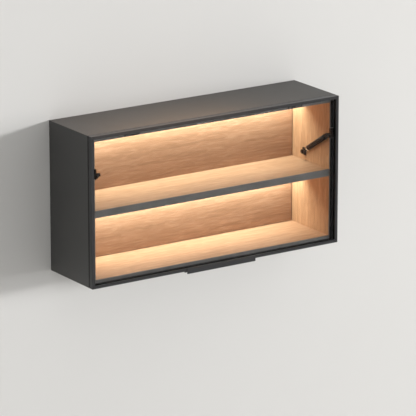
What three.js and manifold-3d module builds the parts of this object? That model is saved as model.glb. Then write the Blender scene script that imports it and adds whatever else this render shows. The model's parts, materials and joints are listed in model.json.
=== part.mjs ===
// Wall-hung showcase with an oak-lined, LED-lit interior and a framed glass flap that lifts on two
// gas struts. Millimetres, +X to the right, +Y into the wall, +Z up.
// The origin is the centre of the wall rail's back face, on the wall plane.
//
// Heights inside the assembly group are counted from the underside of the case, and the group is
// lowered so that the wall rail's centre comes to the origin.
import * as THREE from "three";
import { mergeVertices } from "three/addons/utils/BufferGeometryUtils.js";
import Module from "manifold-3d";

// ---------------------------------------------------------------- driving dimensions

const CASE_WIDTH = 1000;
const CASE_HEIGHT = 524;
const SHOWCASE_DEPTH = 266; // wall plane to the flap's front face
const FLAP_DEPTH = 17;
const FLAP_GAP = 2; // air between the closed flap and the case

const BOARD = 19;
const LINER = 5;
const EDGE_BAND = 2;
const GLUE_LINE = 0.3;
const CLOSE_GAP = 0.1; // between flat pieces that lie on each other
const LAY_GAP = 0.2; // between a piece and the panel that it is fixed to
const MITRE_GAP = 0.15; // taken off each mitred end

const BACK_CAVITY = 17; // between the wall and the back panel
const BACK_PANEL = 9;
const BACK_PANEL_END_GAP = 4;
const BACK_PANEL_EDGE_GAP = 2;

const SHELF_TOP_HEIGHT = 262;
const SHELF_THICKNESS = 25;
const DOWEL_RADIUS = 4;
const DOWEL_IN_SHELF = 14.4;
const DOWEL_IN_CASE = 15.6;
const DOWEL_FROM_FRONT = 47;
const DOWEL_FROM_BACK = 34;

const LED_CHANNEL_WIDTH = 16;
const LED_CHANNEL_HEIGHT = 7;
const LED_CHANNEL_WALL = 1.2;
const LED_SETBACK = 40; // back panel to the middle of the LED channel
const LED_END_GAP = 0.7;
const LED_STRIP = { halfWidth: 5, thickness: 1.4 };
const LED_COVER_THICKNESS = 1.7;

const RAIL_CENTRE_HEIGHT = 465;
const RAIL_LENGTH = 840;

const RIM = 10.5; // width of the flap frame seen from the front
const RIM_DEPTH = 5;
const FRAME_WALL = 5;
const GLASS = 4;
const GLASS_EDGE_GAP = 0.8;
const FLAP_CHAMFER = 2.5; // on the flap's upper back edge, so that it clears the case as it turns

const HINGE_AXIS_DROP = 2.2; // below the top of the case
const HINGE_SPACING = 660;
const HINGE_WIDTH = 60;
const KNUCKLE_RADIUS = 1.9;
const HINGE_PIN_RADIUS = 0.8;
const LEAF = { near: 0.1, far: 0.9, caseLow: -20.8, flapLow: -7.8 }; // from the hinge axis
const NOTCH = { around: 0.4, below: 0.5, intoBand: 1.2, intoRail: 2.6 };

const STRUT_INSET = 34.2; // side of the case to the strut's centre line
const STRUT_CASE_PIVOT = { forward: 102, drop: 229.5 }; // from the wall, and from the top of the case
const STRUT_FLAP_PIVOT = { forward: 248, drop: 138 };
const CYLINDER_RADIUS = 9;
const CYLINDER_LENGTH = 131;
const CYLINDER_TO_PIVOT = 8; // far end of the cylinder to the flap-side pivot
const PISTON_ROD_RADIUS = 4;
const EYE_THICKNESS = 8;

// A channel under the flap's bottom rail, with its front wall run up the rail's face.
const HANDLE = {
  left: -124,
  right: 153,
  proud: 4,
  offRim: 0.4,
  drop: 9,
  rise: 10.2,
  web: 3,
  lip: 2.5,
};

const RUNNING_GAP = 0.3;
const ROUND_SIDES = 32;
const SMALL_ROUND_SIDES = 16;
const DRILL_SIDES = 12;
const PAST = 1; // how far a cutter runs past the face that it cuts

// ---------------------------------------------------------------- derived planes

const HALF_WIDTH = CASE_WIDTH / 2;
const LINED_WALL = BOARD + GLUE_LINE + LINER;
const FLAP_FRONT = -SHOWCASE_DEPTH;
const FLAP_BACK = FLAP_FRONT + FLAP_DEPTH;
const CASE_FRONT = FLAP_BACK + FLAP_GAP;
const BOARD_FRONT = CASE_FRONT + EDGE_BAND + CLOSE_GAP;
const CAVITY_FRONT = -BACK_CAVITY;
const BACK_PANEL_FRONT = CAVITY_FRONT - BACK_PANEL;
const BAY_HALF_WIDTH = HALF_WIDTH - LINED_WALL;
const HINGE_AXIS = { y: FLAP_BACK + FLAP_GAP / 2, z: CASE_HEIGHT - HINGE_AXIS_DROP };

// ---------------------------------------------------------------- materials

function finish(color, roughness, metalness) {
  return { color, roughness, metalness };
}

const LACQUER = finish(0x3b3b3a, 0.5, 0.1);
const OAK = finish(0xa9774d, 0.6, 0);
const EDGE = finish(0x55544f, 0.55, 0.1);
const PINE = finish(0xb08a5c, 0.8, 0);
const STEEL = finish(0x8d8f92, 0.4, 0.9);
const BLACK_STEEL = finish(0x1c1a19, 0.45, 0.6);
const CHROME = finish(0xd8d8d8, 0.1, 1);
const DARK_ALUMINIUM = finish(0x2b2b2b, 0.4, 0.7);
const BARE_ALUMINIUM = finish(0xb4b6b8, 0.35, 0.9);
const SEAL_RUBBER = finish(0x0c0c0c, 0.8, 0);
const CLEAR_GLASS = finish(0xdfe8e6, 0.02, 0);
const LED_BOARD = finish(0xf2efe6, 0.5, 0);
const OPAL_PLASTIC = finish(0xfff1dc, 0.4, 0);
const DRIVER_PLASTIC = finish(0xe4e4e0, 0.5, 0);

function part(name, geometry, look) {
  const mesh = new THREE.Mesh(geometry, new THREE.MeshStandardMaterial(look));
  mesh.name = name;
  return mesh;
}

// ---------------------------------------------------------------- solids

const wasm = await Module();
wasm.setup();

function toSolid(geometry) {
  const bare = geometry.clone();
  bare.deleteAttribute("normal");
  bare.deleteAttribute("uv");
  const merged = mergeVertices(bare, 1e-4);
  return new wasm.Manifold(
    new wasm.Mesh({
      numProp: 3,
      vertProperties: new Float32Array(merged.attributes.position.array),
      triVerts: new Uint32Array(merged.index.array),
    }),
  );
}

function toGeometry(solid) {
  const mesh = solid.getMesh();
  const geometry = new THREE.BufferGeometry();
  geometry.setAttribute("position", new THREE.BufferAttribute(mesh.vertProperties, 3));
  geometry.setIndex(new THREE.BufferAttribute(mesh.triVerts, 1));
  geometry.computeVertexNormals();
  return geometry;
}

function join(first, ...others) {
  return toGeometry(others.reduce((whole, other) => whole.add(toSolid(other)), toSolid(first)));
}

function cut(blank, ...cutters) {
  return toGeometry(cutters.reduce((rest, cutter) => rest.subtract(toSolid(cutter)), toSolid(blank)));
}

// A block between two values on each axis, given in either order.
function block([x0, x1], [y0, y1], [z0, z1]) {
  const box = new THREE.BoxGeometry(Math.abs(x1 - x0), Math.abs(y1 - y0), Math.abs(z1 - z0));
  return box.translate((x0 + x1) / 2, (y0 + y1) / 2, (z0 + z1) / 2);
}

// A round bar along X.
function roundBar(radius, [x0, x1], y, z, sides = SMALL_ROUND_SIDES) {
  const bar = new THREE.CylinderGeometry(radius, radius, Math.abs(x1 - x0), sides);
  return bar.rotateZ(Math.PI / 2).translate((x0 + x1) / 2, y, z);
}

// A round bar along Y.
function roundBarInto(radius, x, [y0, y1], z, sides = DRILL_SIDES) {
  const bar = new THREE.CylinderGeometry(radius, radius, Math.abs(y1 - y0), sides);
  return bar.translate(x, (y0 + y1) / 2, z);
}

// A profile of [y, z] points, run along X.
function profileBar(points, [x0, x1]) {
  const shape = new THREE.Shape(points.map(([y, z]) => new THREE.Vector2(y, z)));
  const bar = new THREE.ExtrudeGeometry(shape, { depth: Math.abs(x1 - x0), bevelEnabled: false });
  // The extrusion's own x, y and z become the part's y, z and x.
  bar.applyMatrix4(new THREE.Matrix4().set(0, 0, 1, 0, 1, 0, 0, 0, 0, 1, 0, 0, 0, 0, 0, 1));
  return bar.translate(Math.min(x0, x1), 0, 0);
}

// The four sides of the showcase's outline. A piece made for the bottom side is turned about Y.
const SIDES = [
  { side: "bottom", turn: 0, x: 0, z: 0, length: CASE_WIDTH },
  { side: "right", turn: -Math.PI / 2, x: HALF_WIDTH, z: CASE_HEIGHT / 2, length: CASE_HEIGHT },
  { side: "top", turn: Math.PI, x: 0, z: CASE_HEIGHT, length: CASE_WIDTH },
  { side: "left", turn: Math.PI / 2, x: -HALF_WIDTH, z: CASE_HEIGHT / 2, length: CASE_HEIGHT },
];

// A bar along one side of the outline, mitred at 45 degrees. The section's points are [inset, y],
// and the inset is counted inwards from the outline.
function mitredBar(section, { turn, x, z, length }) {
  const shape = new THREE.Shape(section.map(([inset, y]) => new THREE.Vector2(inset, y)));
  const bar = new THREE.ExtrudeGeometry(shape, { depth: 1, bevelEnabled: false });
  const corners = bar.attributes.position;
  for (let i = 0; i < corners.count; i += 1) {
    const inset = corners.getX(i);
    const y = corners.getY(i);
    const end = corners.getZ(i) > 0.5 ? -1 : 1;
    corners.setXYZ(i, end * (length / 2 - inset - MITRE_GAP), y, inset);
  }
  bar.computeVertexNormals();
  return bar.rotateY(turn).translate(x, 0, z);
}

function rectangle([inset0, inset1], [y0, y1]) {
  return [
    [inset0, y0],
    [inset1, y0],
    [inset1, y1],
    [inset0, y1],
  ];
}

// ---------------------------------------------------------------- case

const DOWEL_HEIGHT = SHELF_TOP_HEIGHT - SHELF_THICKNESS / 2;
const DOWEL_SPOTS = [
  { place: "front", y: CASE_FRONT + DOWEL_FROM_FRONT },
  { place: "rear", y: BACK_PANEL_FRONT - DOWEL_FROM_BACK },
];
const HANDS = [
  { hand: "left", sign: -1 },
  { hand: "right", sign: 1 },
];

function dowelSpan(sign, spare) {
  const shelfEnd = BAY_HALF_WIDTH - GLUE_LINE;
  return [sign * (shelfEnd - DOWEL_IN_SHELF - spare), sign * (shelfEnd + DOWEL_IN_CASE + spare)];
}

function dowelHoles(sign) {
  return DOWEL_SPOTS.map(({ y }) =>
    roundBar(DOWEL_RADIUS + RUNNING_GAP, dowelSpan(sign, RUNNING_GAP), y, DOWEL_HEIGHT, DRILL_SIDES),
  );
}

function hingeCentre(sign) {
  return (sign * HINGE_SPACING) / 2;
}

function hingeNotches([y0, y1]) {
  const half = HINGE_WIDTH / 2 + NOTCH.around;
  return HANDS.map(({ sign }) =>
    block(
      [hingeCentre(sign) - half, hingeCentre(sign) + half],
      [y0, y1],
      [HINGE_AXIS.z - KNUCKLE_RADIUS - NOTCH.below, CASE_HEIGHT + PAST],
    ),
  );
}

function caseShell() {
  const shell = new THREE.Group();
  for (const edge of SIDES) {
    let board = mitredBar(rectangle([0, BOARD], [BOARD_FRONT, 0]), edge);
    let liner = mitredBar(
      rectangle([BOARD + GLUE_LINE, LINED_WALL], [BOARD_FRONT, CAVITY_FRONT]),
      edge,
    );
    let band = mitredBar(rectangle([0, LINED_WALL], [CASE_FRONT, CASE_FRONT + EDGE_BAND]), edge);
    const upright = HANDS.find(({ hand }) => hand === edge.side);
    if (upright) {
      board = cut(board, ...dowelHoles(upright.sign));
      liner = cut(liner, ...dowelHoles(upright.sign));
    }
    if (edge.side === "top") {
      band = cut(band, ...hingeNotches([CASE_FRONT - PAST, CASE_FRONT + NOTCH.intoBand]));
    }
    shell.add(part(`case_${edge.side}_board`, board, LACQUER));
    shell.add(part(`${edge.side}_liner`, liner, OAK));
    shell.add(part(`${edge.side}_edge_band`, band, EDGE));
  }
  return shell;
}

function backPanel() {
  const halfWidth = BAY_HALF_WIDTH - BACK_PANEL_END_GAP;
  const clear = LINED_WALL + BACK_PANEL_EDGE_GAP;
  const panel = block(
    [-halfWidth, halfWidth],
    [BACK_PANEL_FRONT, CAVITY_FRONT],
    [clear, CASE_HEIGHT - clear],
  );
  return part("back_panel", panel, OAK);
}

function shelf() {
  const group = new THREE.Group();
  const halfLength = BAY_HALF_WIDTH - GLUE_LINE;
  const heights = [SHELF_TOP_HEIGHT - SHELF_THICKNESS, SHELF_TOP_HEIGHT];
  const bandBack = BOARD_FRONT + EDGE_BAND;
  const board = cut(
    block(
      [-halfLength, halfLength],
      [bandBack + CLOSE_GAP, BACK_PANEL_FRONT - GLUE_LINE],
      heights,
    ),
    ...HANDS.flatMap(({ sign }) => dowelHoles(sign)),
  );
  group.add(part("shelf_board", board, OAK));
  const band = block([-halfLength, halfLength], [BOARD_FRONT, bandBack], heights);
  group.add(part("shelf_edge_band", band, EDGE));
  for (const { hand, sign } of HANDS) {
    for (const { place, y } of DOWEL_SPOTS) {
      const dowel = roundBar(DOWEL_RADIUS, dowelSpan(sign, 0), y, DOWEL_HEIGHT, DRILL_SIDES);
      group.add(part(`shelf_dowel_${hand}_${place}`, dowel, PINE));
    }
  }
  return group;
}

// One LED line: an aluminium channel that opens downwards, the strip under its web, and the opal
// cover that closes its mouth. Its group hangs from the surface above it.
function ledLine(bay, ceiling) {
  const line = new THREE.Group();
  line.position.set(0, BACK_PANEL_FRONT - LED_SETBACK, ceiling - GLUE_LINE);
  const halfLength = BAY_HALF_WIDTH - LED_END_GAP;
  const span = [-halfLength, halfLength];
  const outer = LED_CHANNEL_WIDTH / 2;
  const inner = outer - LED_CHANNEL_WALL;
  const channel = profileBar(
    [
      [-outer, 0],
      [-outer, -LED_CHANNEL_HEIGHT],
      [-inner, -LED_CHANNEL_HEIGHT],
      [-inner, -LED_CHANNEL_WALL],
      [inner, -LED_CHANNEL_WALL],
      [inner, -LED_CHANNEL_HEIGHT],
      [outer, -LED_CHANNEL_HEIGHT],
      [outer, 0],
    ],
    span,
  );
  const stripTop = -LED_CHANNEL_WALL - LAY_GAP;
  const stripSpan = [-LED_STRIP.halfWidth, LED_STRIP.halfWidth];
  const strip = block(span, stripSpan, [stripTop, stripTop - LED_STRIP.thickness]);
  const coverSpan = [GLUE_LINE - inner, inner - GLUE_LINE];
  const coverTop = -LED_CHANNEL_HEIGHT + LED_COVER_THICKNESS;
  const cover = block(span, coverSpan, [coverTop, -LED_CHANNEL_HEIGHT]);
  line.add(part(`${bay}_led_channel`, channel, BARE_ALUMINIUM));
  line.add(part(`${bay}_led_strip`, strip, LED_BOARD));
  line.add(part(`${bay}_led_diffuser`, cover, OPAL_PLASTIC));
  return line;
}

// ---------------------------------------------------------------- wall fixing, behind the back panel

const RAIL = { plate: 3, low: 440, fold: 481, lipTop: 497, lipBack: 6, lipFront: 8.5 };
const RAIL_SCREWS = [-360, -120, 120, 360];
const RAIL_SCREW_HEIGHT = 462;
const RAIL_SCREW_RADIUS = 3;
const HOOK = {
  inner: 392,
  low: 470,
  throatLow: 488,
  back: 3.3,
  throatBack: 5.6,
  throatFront: 9,
  front: 11.5,
};
const HANGER_PLATE = { low: 455, back: 3.3, front: 15, thickness: 2.8 };
const BATTEN_INNER = RAIL_LENGTH / 2 + 12;
const BATTEN_WIDTH = 36;
const HOOK_OVER_LIP = 0.4;
const DRIVER = { halfLength: 80, back: 5.5, low: 60, high: 100 };

function wallRail() {
  const { plate, low, fold, lipTop, lipBack, lipFront } = RAIL;
  const bar = profileBar(
    [
      [-plate, low],
      [0, low],
      [0, fold + plate],
      [-lipBack, fold + plate],
      [-lipBack, lipTop],
      [-lipFront, lipTop],
      [-lipFront, fold],
      [-plate, fold],
    ],
    [-RAIL_LENGTH / 2, RAIL_LENGTH / 2],
  );
  const screwHoles = RAIL_SCREWS.map((x) =>
    roundBarInto(RAIL_SCREW_RADIUS, x, [-plate - PAST, PAST], RAIL_SCREW_HEIGHT),
  );
  return part("wall_rail", cut(bar, ...screwHoles), STEEL);
}

// A J-shaped hook that sits over the rail's lip, on a plate screwed to the side of its batten.
function hanger(hand, sign) {
  const plateFace = BATTEN_INNER - GLUE_LINE;
  const throatTop = RAIL.lipTop + HOOK_OVER_LIP;
  const hookTop = RAIL.lipTop + RAIL.plate;
  const hook = profileBar(
    [
      [-HOOK.front, HOOK.low],
      [-HOOK.throatFront, HOOK.low],
      [-HOOK.throatFront, throatTop],
      [-HOOK.throatBack, throatTop],
      [-HOOK.throatBack, HOOK.throatLow],
      [-HOOK.back, HOOK.throatLow],
      [-HOOK.back, hookTop],
      [-HOOK.front, hookTop],
    ],
    [sign * HOOK.inner, sign * (plateFace - PAST)],
  );
  const plate = block(
    [sign * (plateFace - HANGER_PLATE.thickness), sign * plateFace],
    [-HANGER_PLATE.front, -HANGER_PLATE.back],
    [HANGER_PLATE.low, hookTop],
  );
  return part(`${hand}_hanger`, join(hook, plate), STEEL);
}

function batten(hand, sign) {
  const bar = block(
    [sign * BATTEN_INNER, sign * (BATTEN_INNER + BATTEN_WIDTH)],
    [CAVITY_FRONT + LAY_GAP, 0],
    [BOARD + GLUE_LINE, CASE_HEIGHT - BOARD - GLUE_LINE],
  );
  return part(`${hand}_batten`, bar, PINE);
}

function ledDriver() {
  const { halfLength, back, low, high } = DRIVER;
  const box = block([-halfLength, halfLength], [CAVITY_FRONT + LAY_GAP, -back], [low, high]);
  return part("led_driver", box, DRIVER_PLASTIC);
}

function wallFixing() {
  const group = new THREE.Group();
  group.add(wallRail());
  group.add(ledDriver());
  for (const { hand, sign } of HANDS) {
    group.add(hanger(hand, sign));
    group.add(batten(hand, sign));
  }
  return group;
}

// ---------------------------------------------------------------- flap

function flapRail(edge) {
  const section = [
    [0, FLAP_FRONT],
    [RIM, FLAP_FRONT],
    [RIM, FLAP_FRONT + RIM_DEPTH],
    [FRAME_WALL, FLAP_FRONT + RIM_DEPTH],
    [FRAME_WALL, FLAP_BACK],
    [0, FLAP_BACK],
  ];
  const rail = mitredBar(section, edge);
  if (edge.side === "bottom") {
    return rail;
  }
  const chamfer = profileBar(
    [
      [FLAP_BACK - FLAP_CHAMFER - PAST, CASE_HEIGHT + PAST],
      [FLAP_BACK + PAST, CASE_HEIGHT - FLAP_CHAMFER - PAST],
      [FLAP_BACK + PAST, CASE_HEIGHT + PAST],
    ],
    [-HALF_WIDTH - PAST, HALF_WIDTH + PAST],
  );
  if (edge.side !== "top") {
    return cut(rail, chamfer);
  }
  return cut(rail, chamfer, ...hingeNotches([FLAP_BACK - NOTCH.intoRail, FLAP_BACK + PAST]));
}

function handle() {
  const front = FLAP_FRONT - HANDLE.proud;
  const rimSide = FLAP_FRONT - HANDLE.offRim;
  const channel = profileBar(
    [
      [front, -HANDLE.drop],
      [rimSide, -HANDLE.drop],
      [rimSide, -HANDLE.web],
      [FLAP_BACK - HANDLE.lip, -HANDLE.web],
      [FLAP_BACK - HANDLE.lip, -HANDLE.drop],
      [FLAP_BACK, -HANDLE.drop],
      [FLAP_BACK, -GLUE_LINE],
      [rimSide, -GLUE_LINE],
      [rimSide, HANDLE.rise],
      [front, HANDLE.rise],
    ],
    [HANDLE.left, HANDLE.right],
  );
  return part("handle", channel, DARK_ALUMINIUM);
}

function flap() {
  const group = new THREE.Group();
  const glassFront = FLAP_FRONT + RIM_DEPTH + GLUE_LINE;
  const glassInset = FRAME_WALL + GLASS_EDGE_GAP;
  const sealFront = glassFront + GLASS + GLUE_LINE;
  const sealSection = rectangle([FRAME_WALL + GLUE_LINE, RIM], [sealFront, FLAP_BACK - GLUE_LINE]);
  for (const edge of SIDES) {
    group.add(part(`flap_${edge.side}_rail`, flapRail(edge), DARK_ALUMINIUM));
    group.add(part(`glass_seal_${edge.side}`, mitredBar(sealSection, edge), SEAL_RUBBER));
  }
  const pane = block(
    [glassInset - HALF_WIDTH, HALF_WIDTH - glassInset],
    [glassFront, glassFront + GLASS],
    [glassInset, CASE_HEIGHT - glassInset],
  );
  group.add(part("flap_glass", pane, CLEAR_GLASS));
  group.add(handle());
  return group;
}

// ---------------------------------------------------------------- hinges

// A slim butt hinge in the gap along the top edge. Its group stands on the hinge axis, where the
// flap is towards -Y and the case towards +Y.
function hinge(hand, sign) {
  const group = new THREE.Group();
  group.position.set(hingeCentre(sign), HINGE_AXIS.y, HINGE_AXIS.z);
  const half = HINGE_WIDTH / 2;
  const third = HINGE_WIDTH / 6;
  const shoulder = -KNUCKLE_RADIUS - RUNNING_GAP;
  const tabFoot = shoulder - 1;
  const tabTop = -0.6;
  const bore = roundBar(HINGE_PIN_RADIUS + RUNNING_GAP, [-half - PAST, half + PAST], 0, 0);

  function knuckle(span) {
    return roundBar(KNUCKLE_RADIUS, span, 0, 0);
  }

  const caseSpans = [
    [-half, -third - RUNNING_GAP],
    [third + RUNNING_GAP, half],
  ];
  const casePlate = block([-half, half], [LEAF.near, LEAF.far], [LEAF.caseLow, shoulder]);
  const caseTabs = caseSpans.map((span) => block(span, [LEAF.near, LEAF.far], [tabFoot, tabTop]));
  const caseLeaf = cut(join(casePlate, ...caseTabs, ...caseSpans.map(knuckle)), bore);

  const flapSpan = [-third, third];
  const flapPlate = block([-half, half], [-LEAF.near, -LEAF.far], [LEAF.flapLow, shoulder]);
  const flapTab = block(flapSpan, [-LEAF.near, -LEAF.far], [tabFoot, tabTop]);
  const flapLeaf = cut(join(flapPlate, flapTab, knuckle(flapSpan)), bore);

  group.add(part(`${hand}_hinge_case_leaf`, caseLeaf, BLACK_STEEL));
  group.add(part(`${hand}_hinge_flap_leaf`, flapLeaf, BLACK_STEEL));
  group.add(part(`${hand}_hinge_pin`, roundBar(HINGE_PIN_RADIUS, [-half, half], 0, 0), STEEL));
  return group;
}

// ---------------------------------------------------------------- gas struts

const CASE_PIVOT = { y: -STRUT_CASE_PIVOT.forward, z: CASE_HEIGHT - STRUT_CASE_PIVOT.drop };
const FLAP_PIVOT = { y: -STRUT_FLAP_PIVOT.forward, z: CASE_HEIGHT - STRUT_FLAP_PIVOT.drop };
const STRUT_RISE = FLAP_PIVOT.z - CASE_PIVOT.z;
const STRUT_RUN = FLAP_PIVOT.y - CASE_PIVOT.y;
const STRUT_LENGTH = Math.hypot(STRUT_RUN, STRUT_RISE);
const STRUT_ANGLE = Math.atan2(STRUT_RISE, STRUT_RUN); // about X, from +Y
const STRUT_CENTRE = HALF_WIDTH - STRUT_INSET;
const LINER_FACE = BAY_HALF_WIDTH - GLUE_LINE - STRUT_CENTRE; // outwards from the strut's centre
const CYLINDER_FAR = STRUT_LENGTH - CYLINDER_TO_PIVOT;
const CYLINDER_NEAR = CYLINDER_FAR - CYLINDER_LENGTH;
const GUIDE = 6;
const PISTON = 4;
const CYLINDER_WALL = 1.5;
const END_PLUG = 4;
const EDGE_ROLL = 1;

const PIN_RADIUS = 4;
const PIN_HEAD_RADIUS = 6;
const SHANK = { start: 5, end: 29, radius: 6, flare: 1 }; // distances from the case-side pivot
const ROD_SOCKET = 14; // case-side pivot to the bottom of the socket that takes the rod
const CASE_EYE_RADIUS = 8;
const FLAP_EYE_RADIUS = 6.5;
const BOSS_RADIUS = 5;
const BOSS_GAP = 1.8; // between the flap-side eye and the boss on the flap's bracket

const CASE_PLATE = { thickness: 2.5, front: -6, back: 14, low: -14, high: 12 };
const PLATE_HOLE_RADIUS = 2.2;
const PLATE_HOLE_DEPTH = 10;
const PLATE_HOLES = [-10, 8];
const FLAP_PLATE = { thickness: 1.4, low: -12, high: 22 };
const LUG = { thickness: 1.5, front: -7, back: 1.5, low: -6, high: 22 };

// A turned piece along +Y, from [radius, distance] points that start and end on the axis.
function turned(points, sides = ROUND_SIDES) {
  const profile = points.map(([radius, distance]) => new THREE.Vector2(radius, distance));
  return new THREE.LatheGeometry(profile, sides);
}

// The two cutters that flatten a turned piece along +Y to the thickness of an eye.
function eyeFlats([from, to]) {
  const near = EYE_THICKNESS / 2;
  const reach = 2 * near;
  return [-1, 1].map((way) => block([way * near, way * reach], [from, to], [-reach, reach]));
}

// The bracket on the liner: a plate with a collar, a stud and a head. Outwards is away from the
// strut's centre line, towards the side of the case.
function caseBracket(hand, sign) {
  const inner = LINER_FACE - CASE_PLATE.thickness;
  const holes = PLATE_HOLES.map((z) => {
    const span = [sign * (inner - PAST), sign * (LINER_FACE + PAST)];
    return roundBar(PLATE_HOLE_RADIUS, span, PLATE_HOLE_DEPTH, z, DRILL_SIDES);
  });
  const plate = cut(
    block(
      [sign * inner, sign * LINER_FACE],
      [CASE_PLATE.front, CASE_PLATE.back],
      [CASE_PLATE.low, CASE_PLATE.high],
    ),
    ...holes,
  );
  const eyeFace = EYE_THICKNESS / 2;
  const collar = roundBar(PIN_HEAD_RADIUS, [sign * (eyeFace + 0.5), sign * (inner + 0.5)], 0, 0);
  const stud = roundBar(PIN_RADIUS, [sign * -(eyeFace + 1), sign * (eyeFace + 1)], 0, 0);
  const head = roundBar(PIN_HEAD_RADIUS, [sign * -(eyeFace + 3), sign * -(eyeFace + 0.5)], 0, 0);
  return part(`${hand}_strut_case_bracket`, join(plate, collar, stud, head), BLACK_STEEL);
}

// The bracket on the flap: a thin plate in the gap behind the frame, an upright lug beside the
// liner, and a boss that faces the strut's upper end.
function flapBracket(hand, sign) {
  const plateFront = FLAP_BACK + LAY_GAP - FLAP_PIVOT.y;
  const lugInner = LINER_FACE - LUG.thickness;
  const plate = block(
    [sign * (lugInner - 1), sign * (STRUT_INSET - 1)],
    [plateFront, plateFront + FLAP_PLATE.thickness],
    [FLAP_PLATE.low, FLAP_PLATE.high],
  );
  const lug = block([sign * lugInner, sign * LINER_FACE], [LUG.front, LUG.back], [LUG.low, LUG.high]);
  const bossStart = EYE_THICKNESS / 2 + BOSS_GAP;
  const boss = roundBar(BOSS_RADIUS, [sign * bossStart, sign * (lugInner + 0.5)], 0, 0);
  return part(`${hand}_strut_flap_bracket`, join(plate, lug, boss), BLACK_STEEL);
}

function rodEnd(hand) {
  const half = EYE_THICKNESS / 2;
  const eye = roundBar(CASE_EYE_RADIUS, [-half, half], 0, 0, ROUND_SIDES);
  const shank = turned(
    [
      [0, SHANK.start],
      [SHANK.radius, SHANK.start],
      [SHANK.radius, SHANK.end - SHANK.flare],
      [SHANK.radius - SHANK.flare, SHANK.end],
      [0, SHANK.end],
    ],
    SMALL_ROUND_SIDES,
  );
  const bore = roundBar(PIN_RADIUS + RUNNING_GAP, [-half - PAST, half + PAST], 0, 0);
  const socketRadius = PISTON_ROD_RADIUS + RUNNING_GAP;
  const socket = turned([
    [0, ROD_SOCKET],
    [socketRadius, ROD_SOCKET],
    [socketRadius, SHANK.end + PAST],
    [0, SHANK.end + PAST],
  ]);
  const body = join(eye, cut(shank, ...eyeFlats([-SHANK.radius, 2 * SHANK.radius])));
  return part(`${hand}_strut_rod_end`, cut(body, bore, socket), BLACK_STEEL);
}

function pistonRod(hand) {
  const pistonFar = CYLINDER_FAR - END_PLUG - RUNNING_GAP;
  const pistonNear = pistonFar - PISTON;
  const pistonRadius = CYLINDER_RADIUS - CYLINDER_WALL - RUNNING_GAP;
  const rod = turned([
    [0, ROD_SOCKET + RUNNING_GAP],
    [PISTON_ROD_RADIUS, ROD_SOCKET + RUNNING_GAP],
    [PISTON_ROD_RADIUS, pistonNear],
    [pistonRadius, pistonNear],
    [pistonRadius, pistonFar],
    [0, pistonFar],
  ]);
  return part(`${hand}_strut_rod`, rod, CHROME);
}

// The pressure tube with its rod guide at the near end and its plug at the far end.
function cylinder(hand) {
  const bore = CYLINDER_RADIUS - CYLINDER_WALL;
  const guideRadius = PISTON_ROD_RADIUS + RUNNING_GAP;
  const tube = turned([
    [0, CYLINDER_FAR - END_PLUG],
    [bore, CYLINDER_FAR - END_PLUG],
    [bore, CYLINDER_NEAR + GUIDE],
    [guideRadius, CYLINDER_NEAR + GUIDE],
    [guideRadius, CYLINDER_NEAR],
    [CYLINDER_RADIUS - EDGE_ROLL, CYLINDER_NEAR],
    [CYLINDER_RADIUS, CYLINDER_NEAR + EDGE_ROLL],
    [CYLINDER_RADIUS, CYLINDER_FAR - EDGE_ROLL],
    [CYLINDER_RADIUS - EDGE_ROLL, CYLINDER_FAR],
    [0, CYLINDER_FAR],
  ]);
  return part(`${hand}_strut_cylinder`, tube, BLACK_STEEL);
}

// The eye on the cylinder's far end, with its pin's head inwards and its pin's tail outwards.
function cylinderEnd(hand, sign) {
  const half = EYE_THICKNESS / 2;
  const eye = roundBar(FLAP_EYE_RADIUS, [-half, half], STRUT_LENGTH, 0, ROUND_SIDES);
  const neckStart = CYLINDER_FAR + RUNNING_GAP;
  const neckEnd = STRUT_LENGTH - 3;
  const neck = turned(
    [
      [0, neckStart],
      [SHANK.radius, neckStart],
      [SHANK.radius, neckEnd],
      [0, neckEnd],
    ],
    SMALL_ROUND_SIDES,
  );
  const flattened = cut(neck, ...eyeFlats([neckStart + 1, STRUT_LENGTH]));
  const headSpan = [sign * -(half + 4), sign * (0.5 - half)];
  const head = roundBar(PIN_HEAD_RADIUS, headSpan, STRUT_LENGTH, 0);
  const tailSpan = [sign * (half - 0.5), sign * (half + BOSS_GAP - 0.4)];
  const tail = roundBar(PIN_RADIUS, tailSpan, STRUT_LENGTH, 0);
  return part(`${hand}_strut_cylinder_end`, join(eye, flattened, head, tail), BLACK_STEEL);
}

function strut(hand, sign) {
  const group = new THREE.Group();
  const fixed = caseBracket(hand, sign);
  fixed.position.set(sign * STRUT_CENTRE, CASE_PIVOT.y, CASE_PIVOT.z);
  const lifting = flapBracket(hand, sign);
  lifting.position.set(sign * STRUT_CENTRE, FLAP_PIVOT.y, FLAP_PIVOT.z);
  const inclined = new THREE.Group();
  inclined.position.copy(fixed.position);
  inclined.rotation.x = STRUT_ANGLE;
  inclined.add(rodEnd(hand), pistonRod(hand), cylinder(hand), cylinderEnd(hand, sign));
  group.add(fixed, lifting, inclined);
  return group;
}

// ---------------------------------------------------------------- assembly

const assembly = new THREE.Group();
assembly.position.z = -RAIL_CENTRE_HEIGHT;
assembly.add(caseShell());
assembly.add(backPanel());
assembly.add(shelf());
assembly.add(ledLine("upper", CASE_HEIGHT - LINED_WALL));
assembly.add(ledLine("lower", SHELF_TOP_HEIGHT - SHELF_THICKNESS));
assembly.add(wallFixing());
assembly.add(flap());
for (const { hand, sign } of HANDS) {
  assembly.add(hinge(hand, sign));
  assembly.add(strut(hand, sign));
}

const showcase = new THREE.Group();
showcase.add(assembly);

export default showcase;
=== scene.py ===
"""Looks for the wall-hung showcase: materials, lights, camera, and the pieces too fine for the CAD model."""

import json
import math

import bmesh
import bpy
from mathutils import Matrix, Vector


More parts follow.
